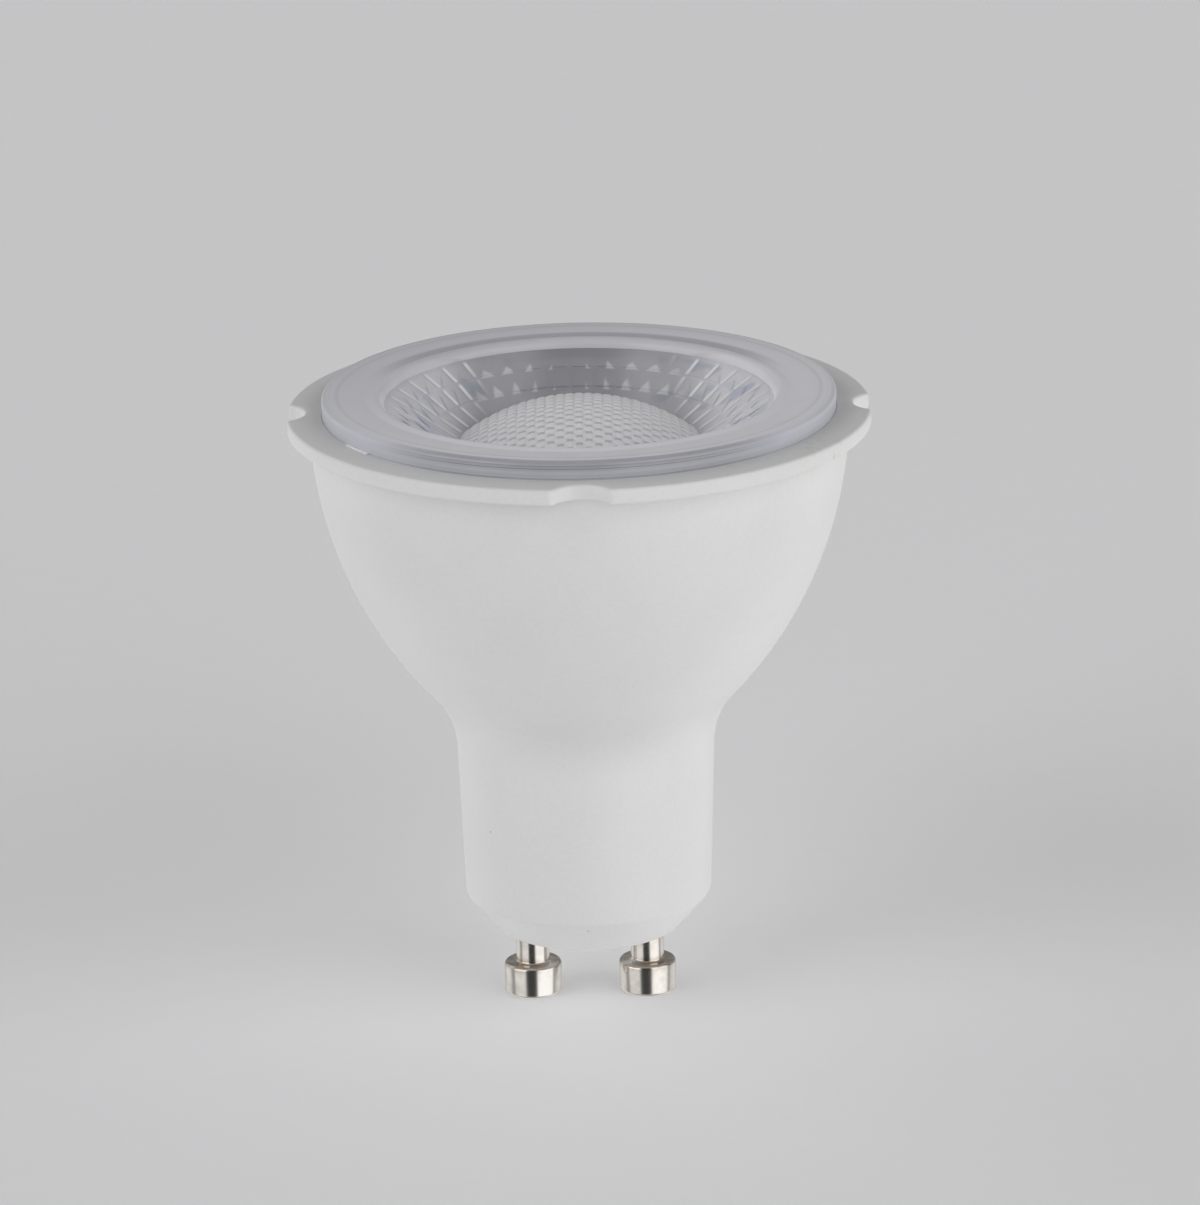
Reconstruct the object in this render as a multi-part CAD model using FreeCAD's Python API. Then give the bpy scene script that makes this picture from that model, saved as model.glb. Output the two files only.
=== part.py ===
import FreeCAD, Part
import math
import os

# Reflector spotlight lamp with a two-pin twist-lock cap, in millimetres.
# The origin is on the lamp's axis, in the plane of the pin ends.
# +Z runs up the axis to the lens, and X runs through both contact pins.

# Contact pins
pin_spacing = 10.0
pin_length = 6.4
pin_head_radius = 2.5
pin_head_height = 2.87
pin_edge_round = 0.35
pin_neck_radius = 1.45
pin_shank_radius = 1.2
pin_rivet_radius = 1.7
pin_rivet_height = 1.5
pin_fit_gap = 0.02

# Housing shell
flange_radius = 25.0
flange_overhang = 1.9
flange_thickness = 1.4
flange_edge_round = 0.25
notch_count = 4
notch_radius = 2.75
notch_depth = 1.55
body_length = 46.6
mouth_wall = 1.0
bowl_arc_radius = 36.5
throat_fillet = 8.0
neck_foot_radius = 10.67
neck_draft = 2.0
foot_round = 1.0
base_flat_radius = 7.9
base_chamfer_height = 3.2
wall = 1.8
base_floor = 2.4
rib_thickness = 1.0
guide_rib_depth = 1.5
guide_rib_height = 14.0
cup_rib_count = 4
cup_rib_angle = 45.0
cup_rib_reach = 4.0

# Heat sink cup and light board
lens_seat_depth = 1.6
cup_gap = 0.08
cup_wall = 1.0
cup_floor = 1.2
cup_depth = 10.2
cup_rim_gap = 0.2
led_board_thickness = 1.2
led_board_gap = 0.6
led_count = 6
led_angle = 30.0
led_spacing = 0.5
led_length = 3.5
led_width = 2.8
led_height = 0.7
led_window_depth = 0.1
led_frame = 0.4

# Light board screws
screw_count = 2
screw_edge_distance = 4.0
screw_radius = 1.1
screw_length = 3.6
screw_head_radius = 2.1
screw_crown_radius = 0.5
screw_rim_height = 0.65
screw_head_height = 1.3
screw_recess_width = 0.6
screw_recess_span = 2.5
screw_recess_depth = 0.7
screw_hole_gap = 0.1

# Lens
lens_gap = 0.1
lens_rise = 1.55
lens_edge_round = 0.45
lens_rim_wall = 1.3
lens_plate = 1.3
lens_dish = 0.13
lens_annulus = 4.55
lens_lip_round = 0.8
funnel_ledge = 0.1
funnel_depth = 3.67
funnel_run_shares = (0.0, 0.33, 0.64, 1.0)
funnel_drop_shares = (0.0, 0.305, 0.654, 1.0)
facet_count = 42
facet_angle = -1.2
stud_height_shares = (0.33, 0.52, 0.0)
stud_width_share = 0.64
stud_rise = 0.25
dome_radius = 10.3
dome_margin = 0.3
dome_height = 3.65
dome_root = 0.5
cone_top_inset = 0.2
cone_foot_radius = 8.2
lens_standoff = 1.2
pocket_radius = 6.8
pocket_height = 3.4
pocket_crown = 1.2

# Driver board
board_thickness = 1.2
board_edge_gap = 0.2
board_slot_gap = 0.1
board_head_gap = 1.2
board_top_gap = 2.0
board_shoulder_rise = 1.5

# Leads, insulated
wire_radius = 0.55
wire_bend = 3.2
wire_straight = 0.6
wire_hole_gap = 0.05
grommet_gap = 0.45
pin_socket_depth = 1.2
input_wire_rise = 1.6
output_wire_drop = 6.5
output_wire_offset = 8.2
output_wire_stub = 0.6

# Driver components
lead_radius = 0.3
lead_bend = 0.9
input_can_radius = 3.15
input_can_length = 11.0
output_can_radius = 2.5
output_can_length = 7.0
can_edge_round = 0.5
can_crimp_depth = 0.25
can_crimp_width = 0.8
can_crimp_height = 1.6
can_lead_share = 0.4
can_spacing = 0.5
choke_radius = 3.8
choke_height = 6.5
choke_core_radius = 1.8
choke_cheek = 1.2
choke_winding_gap = 0.4
fuse_radius = 1.25
fuse_length = 6.4
fuse_waist = 0.15
fuse_waist_length = 3.2
fuse_clearance = 0.3
chip_body = (3.9, 4.9, 1.45)
chip_lead_count = 4
chip_lead_pitch = 1.27
rectifier_body = (3.9, 4.7, 2.3)
rectifier_lead_count = 2
rectifier_lead_pitch = 2.5
gull_reach = 1.05
gull_foot = 0.6
gull_width = 0.4
gull_gauge = 0.2
chip_resistor_body = (3.2, 1.6, 0.55)
chip_resistor_chamfer = 0.09
chip_resistor_count = 3
chip_resistor_pitch = 3.0
component_gap = 0.6

# Radii that follow from the flange
bowl_mouth_radius = flange_radius - flange_overhang
lens_radius = bowl_mouth_radius - mouth_wall - lens_gap
funnel_mouth_radius = lens_radius - lens_annulus
cone_top_radius = funnel_mouth_radius - cone_top_inset

# Heights that follow from the sizes above
base_height = pin_length
floor_top = base_height + base_floor
neck_foot = base_height + base_chamfer_height
flange_top = base_height + body_length
flange_under = flange_top - flange_thickness
lens_seat = flange_top - lens_seat_depth
cup_floor_top = lens_seat - cup_depth
cup_seat = cup_floor_top - cup_floor
led_board_top = cup_floor_top + led_board_thickness
board_top = cup_seat - board_top_gap
lens_top = flange_top + lens_rise

# The packages stand side by side round a ring
led_ring_radius = led_width / 2 + (led_length + led_spacing) / 2 / math.tan(math.pi / led_count)

# The cup wall lies inside the housing wall, with the fitting gap between them
cup_outer_inset = wall + cup_gap
cup_inner_inset = cup_outer_inset + cup_wall

axis_up = FreeCAD.Vector(0, 0, 1)
origin = FreeCAD.Vector(0, 0, 0)


def section_point(radius, height):
    return FreeCAD.Vector(radius, 0, height)


def turned(start, steps):
    """Revolve a half section about Z. A step is a point (a line) or a pair of points (an arc)."""
    edges = []
    here = section_point(*start)
    for step in steps + [start]:
        if isinstance(step[0], tuple):
            middle = section_point(*step[0])
            end = section_point(*step[1])
            edges.append(Part.Arc(here, middle, end).toShape())
        else:
            end = section_point(*step)
            if here.isEqual(end, 1e-7):
                continue
            edges.append(Part.makeLine(here, end))
        here = end
    return Part.Face(Part.Wire(edges)).revolve(origin, axis_up, 360)


def block(low, high):
    """A box between two corners."""
    size = [b - a for a, b in zip(low, high)]
    return Part.makeBox(*size, FreeCAD.Vector(*low))


def round_bar(radius, low, high, x=0.0, y=0.0):
    """An upright cylinder between two heights."""
    return Part.makeCylinder(radius, high - low, FreeCAD.Vector(x, y, low), axis_up)


def around(count, start_angle=0.0):
    """Angles of a pattern of count places round the axis, in degrees."""
    return [start_angle + 360.0 * index / count for index in range(count)]


def turned_to(shape, angle):
    copy = shape.copy()
    copy.rotate(origin, axis_up, angle)
    return copy


def rounded_corner(before, corner, after, radius):
    """Start, middle and end of the arc of one radius that rounds a corner between two lines."""
    middle = FreeCAD.Vector(corner[0], corner[1], 0)
    towards_start = (FreeCAD.Vector(before[0], before[1], 0) - middle).normalize()
    towards_end = (FreeCAD.Vector(after[0], after[1], 0) - middle).normalize()
    half_angle = towards_start.getAngle(towards_end) / 2
    reach = radius / math.tan(half_angle)
    bisector = (towards_start + towards_end).normalize()
    start = middle + towards_start * reach
    end = middle + towards_end * reach
    crown = middle + bisector * (radius / math.sin(half_angle) - radius)
    return [(point.x, point.y) for point in (start, crown, end)]


# Housing outline: an inset moves it inwards by a wall, and the insides are made from the same lines.
draft_slope = math.tan(math.radians(neck_draft))
draft_across = math.cos(math.radians(neck_draft))
bowl_centre = (bowl_mouth_radius - bowl_arc_radius, flange_top)
chamfer_slope = (neck_foot_radius - base_flat_radius) / base_chamfer_height
chamfer_across = 1 / math.hypot(1, chamfer_slope)


def neck_radius(height, inset=0.0):
    return neck_foot_radius + (height - neck_foot) * draft_slope - inset / draft_across


def chamfer_radius(height, inset=0.0):
    return base_flat_radius + (height - base_height) * chamfer_slope - inset / chamfer_across


def bowl_radius(height, inset=0.0):
    return bowl_centre[0] + math.sqrt((bowl_arc_radius - inset) ** 2 - (height - bowl_centre[1]) ** 2)


def bowl_arc(start, end, inset):
    """The arc step of the bowl from one height to another."""
    middle = (start + end) / 2
    return ((bowl_radius(middle, inset), middle), (bowl_radius(end, inset), end))


def throat_centre():
    """Centre of the fillet that touches the neck's line and the bowl's circle."""
    across = neck_radius(0.0) + throat_fillet / draft_across - bowl_centre[0]
    reach = bowl_arc_radius + throat_fillet
    a = 1 + draft_slope ** 2
    b = draft_slope * across - bowl_centre[1]
    c = across ** 2 + bowl_centre[1] ** 2 - reach ** 2
    height = (-b - math.sqrt(b ** 2 - a * c)) / a
    return (neck_radius(height) + throat_fillet / draft_across, height)


def throat(inset):
    """Neck end, middle and bowl end of the throat fillet."""
    centre = FreeCAD.Vector(*throat_centre(), 0)
    to_neck = FreeCAD.Vector(-draft_across, draft_slope * draft_across, 0)
    to_bowl = (FreeCAD.Vector(*bowl_centre, 0) - centre).normalize()
    between = (to_neck + to_bowl).normalize()
    reach = throat_fillet + inset
    return [((centre + way * reach).x, (centre + way * reach).y) for way in (to_neck, between, to_bowl)]


def neck_foot_height(inset):
    """Height where the neck's line meets the chamfer's line."""
    apart = neck_radius(base_height, inset) - chamfer_radius(base_height, inset)
    return base_height + apart / (chamfer_slope - draft_slope)


throat_inside = throat(wall)
shoulder_height = throat_inside[2][1] + board_shoulder_rise
board_half_width = neck_radius(neck_foot_height(wall), wall) - board_edge_gap
board_head_half_width = bowl_radius(shoulder_height, wall) - board_head_gap
led_board_radius = bowl_radius(cup_floor_top, cup_inner_inset) - led_board_gap
screw_circle_radius = led_board_radius - screw_edge_distance
cup_rib_inner_radius = bowl_radius(cup_seat, wall) - cup_rib_reach


def pin_places():
    return {"left": -pin_spacing / 2, "right": pin_spacing / 2}


def output_wire_places():
    reach = board_thickness / 2 + wire_straight + wire_bend
    return {"positive": (reach, -output_wire_offset), "negative": (-reach, -output_wire_offset)}


def screw_places():
    turns = [math.radians(angle) for angle in around(screw_count)]
    return [(screw_circle_radius * math.cos(turn), screw_circle_radius * math.sin(turn)) for turn in turns]


def housing():
    foot = rounded_corner((base_flat_radius, base_height), (neck_foot_radius, neck_foot),
                          throat(0.0)[0], foot_round)
    lower_edge = rounded_corner((bowl_mouth_radius, flange_under), (flange_radius, flange_under),
                                (flange_radius, flange_top), flange_edge_round)
    upper_edge = rounded_corner((flange_radius, flange_under), (flange_radius, flange_top),
                                (bowl_mouth_radius, flange_top), flange_edge_round)
    neck_end, throat_middle, bowl_start = throat(0.0)
    outside = turned((0, base_height), [
        (base_flat_radius, base_height), foot[0], (foot[1], foot[2]),
        neck_end, (throat_middle, bowl_start), bowl_arc(bowl_start[1], flange_under, 0.0),
        lower_edge[0], (lower_edge[1], lower_edge[2]), upper_edge[0], (upper_edge[1], upper_edge[2]),
        (0, flange_top)])
    neck_end, throat_middle, bowl_start = throat_inside
    mouth = lens_radius + lens_gap
    foot_height = neck_foot_height(wall)
    cavity = turned((0, floor_top), [
        (chamfer_radius(floor_top, wall), floor_top), (neck_radius(foot_height, wall), foot_height),
        neck_end, (throat_middle, bowl_start), bowl_arc(bowl_start[1], lens_seat, wall),
        (mouth, lens_seat), (mouth, flange_top), (0, flange_top)])
    slot = board_thickness / 2 + board_slot_gap
    guide_inner = neck_radius(neck_foot_height(wall), wall) - guide_rib_depth
    for side in (-1, 1):
        for face in (-1, 1):
            across = sorted((face * slot, face * (slot + rib_thickness)))
            along = sorted((side * guide_inner, side * neck_foot_radius))
            cavity = cavity.cut(block((across[0], along[0], floor_top),
                                      (across[1], along[1], floor_top + guide_rib_height)))
    rib = block((cup_rib_inner_radius, -rib_thickness / 2, throat_inside[2][1]),
                (bowl_mouth_radius, rib_thickness / 2, cup_seat))
    for angle in around(cup_rib_count, cup_rib_angle):
        cavity = cavity.cut(turned_to(rib, angle))
    shell = outside.cut(cavity)
    for x in pin_places().values():
        shell = shell.cut(round_bar(pin_shank_radius + pin_fit_gap, base_height, floor_top, x))
    notch = round_bar(notch_radius, flange_under, flange_top, flange_radius - notch_depth + notch_radius)
    for angle in around(notch_count):
        shell = shell.cut(turned_to(notch, angle))
    return shell


def contact_pin(x):
    """Turned pin: the shoulder of its neck sits under the base, and its rivet collar on the floor above."""
    head_top = pin_head_height
    collar_top = floor_top + pin_rivet_height
    low = rounded_corner((0, 0), (pin_head_radius, 0), (pin_head_radius, head_top), pin_edge_round)
    high = rounded_corner((pin_head_radius, 0), (pin_head_radius, head_top), (0, head_top), pin_edge_round)
    socket = wire_radius + wire_hole_gap
    socket_floor = collar_top - pin_socket_depth
    pin = turned((0, 0), [
        low[0], (low[1], low[2]), high[0], (high[1], high[2]), (pin_neck_radius, head_top),
        (pin_neck_radius, base_height), (pin_shank_radius, base_height), (pin_shank_radius, floor_top),
        (pin_rivet_radius, floor_top), (pin_rivet_radius, floor_top + pin_rivet_height / 2),
        (pin_shank_radius, collar_top), (socket, collar_top), (socket, socket_floor), (0, socket_floor)])
    pin.translate(FreeCAD.Vector(x, 0, 0))
    return pin


def heat_sink_cup():
    rim = lens_seat - cup_rim_gap
    cup = turned((0, cup_seat), [
        (bowl_radius(cup_seat, cup_outer_inset), cup_seat), bowl_arc(cup_seat, rim, cup_outer_inset),
        (bowl_radius(rim, cup_inner_inset), rim), bowl_arc(rim, cup_floor_top, cup_inner_inset),
        (0, cup_floor_top)])
    for x, y in screw_places():
        cup = cup.cut(round_bar(screw_radius, cup_seat, cup_floor_top, x, y))
    for x, y in output_wire_places().values():
        cup = cup.cut(round_bar(wire_radius + grommet_gap, cup_seat, cup_floor_top, x, y))
    return cup


def led_board():
    board = round_bar(led_board_radius, cup_floor_top, led_board_top)
    for x, y in screw_places():
        board = board.cut(round_bar(screw_radius + screw_hole_gap, cup_floor_top, led_board_top, x, y))
    for x, y in output_wire_places().values():
        board = board.cut(round_bar(wire_radius + wire_hole_gap, cup_floor_top, led_board_top, x, y))
    return board


def led(angle):
    """Moulded package with a shallow window, its long side along the ring."""
    half_width = led_width / 2
    half_length = led_length / 2
    top = led_board_top + led_height
    package = block((-half_width, -half_length, led_board_top), (half_width, half_length, top))
    window = block((led_frame - half_width, led_frame - half_length, top - led_window_depth),
                   (half_width - led_frame, half_length - led_frame, top))
    package = package.cut(window)
    package.translate(FreeCAD.Vector(led_ring_radius, 0, 0))
    return turned_to(package, angle)


def board_screw(x, y):
    under = led_board_top
    crown = under + screw_head_height
    rim = under + screw_rim_height
    drop = crown - rim
    run = screw_head_radius - screw_crown_radius
    round_radius = (run ** 2 + drop ** 2) / (2 * drop)
    half = math.asin(run / round_radius) / 2
    shoulder = (screw_crown_radius + round_radius * math.sin(half),
                crown - round_radius * (1 - math.cos(half)))
    screw = turned((0, under - screw_length), [
        (screw_radius, under - screw_length), (screw_radius, under), (screw_head_radius, under),
        (screw_head_radius, rim), (shoulder, (screw_crown_radius, crown)), (0, crown)])
    for angle in (0, 90):
        slot = block((-screw_recess_span / 2, -screw_recess_width / 2, crown - screw_recess_depth),
                     (screw_recess_span / 2, screw_recess_width / 2, crown))
        screw = screw.cut(turned_to(slot, angle))
    screw.translate(FreeCAD.Vector(x, y, 0))
    return screw


def facet_ring(radius, height):
    """Corners of one ring of facets, with the given distance from the axis to its flats."""
    corner_radius = radius / math.cos(math.pi / facet_count)
    turns = [math.radians(angle) for angle in around(facet_count, facet_angle)]
    return [FreeCAD.Vector(corner_radius * math.cos(turn), corner_radius * math.sin(turn), height)
            for turn in turns]


def flat_face(corners):
    return Part.Face(Part.makePolygon(corners + corners[:1]))


def facet_faces(top_edge, bottom_edge, stud_share):
    """Faces of one facet and the points of its bottom edge; a share above 0 sets a stud on that edge."""
    first, last = bottom_edge
    middle = (first + last) * 0.5
    up_slope = (top_edge[0] + top_edge[-1]) * 0.5 - middle
    if stud_share == 0:
        return [flat_face(top_edge + [last, first])], bottom_edge
    half_width = (last - first) * (stud_width_share / 2)
    left = middle - half_width
    right = middle + half_width
    tip = middle + up_slope * stud_share
    peak = middle + half_width.cross(up_slope).normalize() * stud_rise
    faces = [flat_face(top_edge + [last, right, tip, left, first])]
    for corners in ((left, tip, peak), (tip, right, peak), (right, left, peak)):
        faces.append(flat_face(list(corners)))
    return faces, [first, left, right, last]


def faceted_funnel(top_radius, top_height):
    """Solid with the form of the funnel: tiers of flat facets, carried straight up above their top edge."""
    run = top_radius - dome_radius - dome_margin
    collar = facet_ring(top_radius, top_height + lens_lip_round)
    rings = [facet_ring(top_radius - run * inward, top_height - funnel_depth * down)
             for inward, down in zip(funnel_run_shares, funnel_drop_shares)]
    faces = [flat_face(collar), flat_face(rings[-1])]
    for index in range(facet_count):
        after = (index + 1) % facet_count
        edge = [rings[0][index], rings[0][after]]
        faces.append(flat_face([collar[index], collar[after], edge[1], edge[0]]))
        for ring, stud_share in zip(rings[1:], stud_height_shares):
            tier_faces, edge = facet_faces(edge, [ring[index], ring[after]], stud_share)
            faces += tier_faces
    shell = Part.Shell(faces)
    shell.sewShape()
    solid = Part.Solid(shell)
    solid.fix(1e-6, 1e-6, 1e-6)
    return solid


def lens():
    """Clear lens: the rim stands on the housing's ledge, and the cone hangs over the lights."""
    dish_floor = lens_top - lens_dish
    plate_under = dish_floor - lens_plate
    cone_foot = led_board_top + lens_standoff
    pocket_side = cone_foot + pocket_height
    rim_inner = lens_radius - lens_rim_wall
    lip_inner = funnel_mouth_radius - lens_lip_round
    lip_foot = dish_floor - lens_lip_round
    edge = rounded_corner((lens_radius, lens_seat), (lens_radius, lens_top), (0, lens_top), lens_edge_round)
    lip = rounded_corner((funnel_mouth_radius, dish_floor), (lip_inner, dish_floor), (lip_inner, lip_foot),
                         lens_lip_round)
    crown_middle = rounded_cap(pocket_radius, pocket_crown, pocket_side)
    body = turned((0, pocket_side + pocket_crown), [
        (crown_middle, (pocket_radius, pocket_side)), (pocket_radius, cone_foot),
        (cone_foot_radius, cone_foot), (cone_top_radius, plate_under), (rim_inner, plate_under),
        (rim_inner, lens_seat), (lens_radius, lens_seat), edge[0], (edge[1], edge[2]),
        lip[0], (lip[1], lip[2]), (0, lip_foot)])
    body = body.cut(faceted_funnel(lip_inner - funnel_ledge, lip_foot))
    dome_foot = lip_foot - funnel_depth
    dome = turned((0, dome_foot - dome_root), [
        (dome_radius, dome_foot - dome_root), (dome_radius, dome_foot),
        (rounded_cap(dome_radius, dome_height, dome_foot), (0, dome_foot + dome_height))])
    return body.fuse(dome).removeSplitter()


def rounded_cap(radius, rise, foot):
    """Point half way along the arc of a cap, between its foot circle and its crown."""
    sphere = (radius ** 2 + rise ** 2) / (2 * rise)
    half = math.asin(radius / sphere) / 2
    return (sphere * math.sin(half), foot + rise - sphere * (1 - math.cos(half)))


def driver_board():
    """Upright board between the pins: its foot stands on the base, its edges run in the guide ribs."""
    foot_half_width = chamfer_radius(floor_top, wall) - board_edge_gap
    foot_rise = neck_foot_height(wall)
    flank = shoulder_height - (board_head_half_width - board_half_width)
    side = [(foot_half_width, floor_top), (board_half_width, foot_rise), (board_half_width, flank),
            (board_head_half_width, shoulder_height), (board_head_half_width, board_top)]
    corners = side + [(-y, z) for y, z in reversed(side)]
    outline = [FreeCAD.Vector(-board_thickness / 2, y, z) for y, z in corners]
    face = Part.Face(Part.makePolygon(outline + outline[:1]))
    return face.extrude(FreeCAD.Vector(board_thickness, 0, 0))


def tube(points, radius, bend):
    """Round lead along straight runs joined by tangent arcs."""
    path = [FreeCAD.Vector(*point) for point in points]
    edges = []
    here = path[0]
    for before, corner, after in zip(path, path[1:], path[2:]):
        back = (before - corner).normalize()
        ahead = (after - corner).normalize()
        half_angle = back.getAngle(ahead) / 2
        reach = bend / math.tan(half_angle)
        arc_start = corner + back * reach
        arc_end = corner + ahead * reach
        crown = corner + (back + ahead).normalize() * (bend / math.sin(half_angle) - bend)
        edges.append(Part.makeLine(here, arc_start))
        edges.append(Part.Arc(arc_start, crown, arc_end).toShape())
        here = arc_end
    edges.append(Part.makeLine(here, path[-1]))
    start_way = path[1] - path[0]
    ring = Part.Wire(Part.makeCircle(radius, path[0], start_way))
    return Part.Wire(edges).makePipeShell([ring], True, True)


def input_wire(x):
    """Lead from the pin's socket up, over and square on to the driver board."""
    socket_floor = floor_top + pin_rivet_height - pin_socket_depth
    joint_height = floor_top + pin_rivet_height + input_wire_rise + wire_bend
    board_face = math.copysign(board_thickness / 2, x)
    route = [(x, 0, socket_floor), (x, 0, joint_height), (board_face, 0, joint_height)]
    return tube(route, wire_radius, wire_bend)


def output_wire(x, y):
    """Lead from the driver board up through the cup's floor and the light board."""
    joint_height = board_top - output_wire_drop
    board_face = math.copysign(board_thickness / 2, x)
    end = led_board_top + output_wire_stub
    return tube([(board_face, y, joint_height), (x, y, joint_height), (x, y, end)], wire_radius, wire_bend)


def on_board(shape, side, along, height):
    """Set a component, modelled on the XY plane, on one face of the board (side 1 is +X)."""
    placed = shape.copy()
    placed.rotate(origin, FreeCAD.Vector(1, 1, 1), 120)
    if side < 0:
        placed.rotate(origin, axis_up, 180)
    placed.translate(FreeCAD.Vector(side * board_thickness / 2, along, height))
    return placed


def can_capacitor(radius, length):
    """Can lying along Y, with a crimp by its seal and two leads bent down to the board."""
    seal = rounded_corner((0, 0), (radius, 0), (radius, length), can_edge_round)
    crown = rounded_corner((radius, 0), (radius, length), (0, length), can_edge_round)
    groove_half = can_crimp_width / 2
    groove = (radius - can_crimp_depth, can_crimp_height)
    can = turned((0, 0), [
        seal[0], (seal[1], seal[2]), (radius, can_crimp_height - groove_half),
        (groove, (radius, can_crimp_height + groove_half)), crown[0], (crown[1], crown[2]), (0, length)])
    can.rotate(origin, FreeCAD.Vector(1, 0, 0), -90)
    can.translate(FreeCAD.Vector(0, 0, radius))
    solids = [can]
    lead_run = lead_bend + lead_radius
    for x in (-radius * can_lead_share, radius * can_lead_share):
        solids.append(tube([(x, can_edge_round, radius), (x, -lead_run, radius), (x, -lead_run, 0)],
                           lead_radius, lead_bend))
    return solids[0].fuse(solids[1:])


def fuse_resistor():
    """Axial resistor along X with a waisted body and leads bent down to the board."""
    lift = fuse_radius + fuse_clearance
    end = fuse_waist_length / 2
    body = turned((0, -fuse_length / 2), [
        (fuse_radius - can_edge_round, -fuse_length / 2), (fuse_radius, can_edge_round - fuse_length / 2),
        (fuse_radius, -end), ((fuse_radius - fuse_waist, 0), (fuse_radius, end)),
        (fuse_radius, fuse_length / 2 - can_edge_round), (fuse_radius - can_edge_round, fuse_length / 2),
        (0, fuse_length / 2)])
    body.rotate(origin, FreeCAD.Vector(0, 1, 0), 90)
    body.translate(FreeCAD.Vector(0, 0, lift))
    reach = fuse_length / 2 + lead_bend + lead_radius
    leads = [tube([(side * end, 0, lift), (side * reach, 0, lift), (side * reach, 0, 0)],
                  lead_radius, lead_bend) for side in (-1, 1)]
    return body.fuse(leads)


def moulded_chip(body, lead_count, lead_pitch):
    """Moulded package with tapered sides and bent leads along its two long sides."""
    width, length, height = body
    middle = height / 2
    taper = gull_gauge / 2

    def layer(inset, z):
        x = width / 2 - inset
        y = length / 2 - inset
        corners = [(-x, -y), (x, -y), (x, y), (-x, y), (-x, -y)]
        return Part.makePolygon([FreeCAD.Vector(px, py, z) for px, py in corners])

    lower = Part.makeLoft([layer(taper, gull_gauge / 2), layer(0, middle)], True, True)
    upper = Part.makeLoft([layer(0, middle), layer(taper, height)], True, True)
    gull = [(0, middle), (gull_reach - gull_foot, middle), (gull_reach - gull_foot, gull_gauge),
            (gull_reach, gull_gauge), (gull_reach, 0), (gull_reach - gull_foot - gull_gauge, 0),
            (gull_reach - gull_foot - gull_gauge, middle - gull_gauge), (0, middle - gull_gauge)]
    leads = []
    for side in (-1, 1):
        for index in range(lead_count):
            y = (index - (lead_count - 1) / 2) * lead_pitch - gull_width / 2
            corners = [FreeCAD.Vector(side * (width / 2 - taper + x), y, z) for x, z in gull]
            face = Part.Face(Part.makePolygon(corners + corners[:1]))
            leads.append(face.extrude(FreeCAD.Vector(0, gull_width, 0)))
    return lower.fuse([upper] + leads).removeSplitter()


def chip_resistor():
    width, length, height = chip_resistor_body
    body = block((-width / 2, -length / 2, 0), (width / 2, length / 2, height))
    top_edges = [edge for edge in body.Edges if edge.BoundBox.ZMin > height / 2]
    return body.makeChamfer(chip_resistor_chamfer, top_edges)


def choke_core():
    return turned((0, 0), [
        (choke_radius, 0), (choke_radius, choke_cheek), (choke_core_radius, choke_cheek),
        (choke_core_radius, choke_height - choke_cheek), (choke_radius, choke_height - choke_cheek),
        (choke_radius, choke_height), (0, choke_height)])


def choke_winding():
    outer = choke_radius - choke_winding_gap
    top = choke_height - choke_cheek
    return turned((choke_core_radius, choke_cheek), [
        (outer, choke_cheek), (outer, top), (choke_core_radius, top)])


def driver_components():
    """The board's components by name, each on its face of the board."""
    joint = floor_top + pin_rivet_height + input_wire_rise + wire_bend
    above_joint = joint + wire_radius + component_gap
    can_foot = above_joint + lead_bend + 2 * lead_radius
    can_offset = input_can_radius + output_can_radius + can_spacing
    output_can_foot = board_top - output_can_length
    fuse_height = above_joint + fuse_radius
    rectifier_height = fuse_height + fuse_radius + component_gap + rectifier_body[1] / 2
    choke_centre = rectifier_height + rectifier_body[1] / 2 + component_gap + choke_radius
    chip_height = board_top - chip_body[1] / 2 - component_gap
    chip_offset = choke_radius + chip_body[0] / 2 + gull_reach + component_gap / 2
    found = {
        "input_capacitor": on_board(can_capacitor(input_can_radius, input_can_length), 1, 0, can_foot),
        "output_capacitor": on_board(can_capacitor(output_can_radius, output_can_length), 1, can_offset,
                                     output_can_foot),
        "fuse_resistor": on_board(fuse_resistor(), -1, 0, fuse_height),
        "bridge_rectifier": on_board(moulded_chip(rectifier_body, rectifier_lead_count, rectifier_lead_pitch),
                                     -1, 0, rectifier_height),
        "driver_chip": on_board(moulded_chip(chip_body, chip_lead_count, chip_lead_pitch), -1, chip_offset,
                                chip_height),
        "choke_core": on_board(choke_core(), -1, 0, choke_centre),
        "choke_winding": on_board(choke_winding(), -1, 0, choke_centre)}
    resistor_offset = pin_rivet_radius + chip_resistor_body[0] / 2 + component_gap
    first_row = floor_top + pin_rivet_height + component_gap
    for index in range(chip_resistor_count):
        found["chip_resistor_%d" % (index + 1)] = on_board(
            chip_resistor(), 1, resistor_offset, first_row + index * chip_resistor_pitch)
    return found


def all_pieces():
    found = {"housing": housing(), "lens": lens(), "heat_sink_cup": heat_sink_cup(), "led_board": led_board(),
             "driver_board": driver_board()}
    for index, angle in enumerate(around(led_count, led_angle)):
        found["led_%d" % (index + 1)] = led(angle)
    for index, place in enumerate(screw_places()):
        found["board_screw_%d" % (index + 1)] = board_screw(*place)
    for side, x in pin_places().items():
        found["contact_pin_" + side] = contact_pin(x)
        found["input_wire_" + side] = input_wire(x)
    for pole, place in output_wire_places().items():
        found["output_wire_" + pole] = output_wire(*place)
    found.update(driver_components())
    return found


os.makedirs("parts", exist_ok=True)
for name, shape in all_pieces().items():
    shape.exportStep("parts/%s.step" % name)
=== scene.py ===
import math

import bpy
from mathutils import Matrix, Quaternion, Vector


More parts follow.
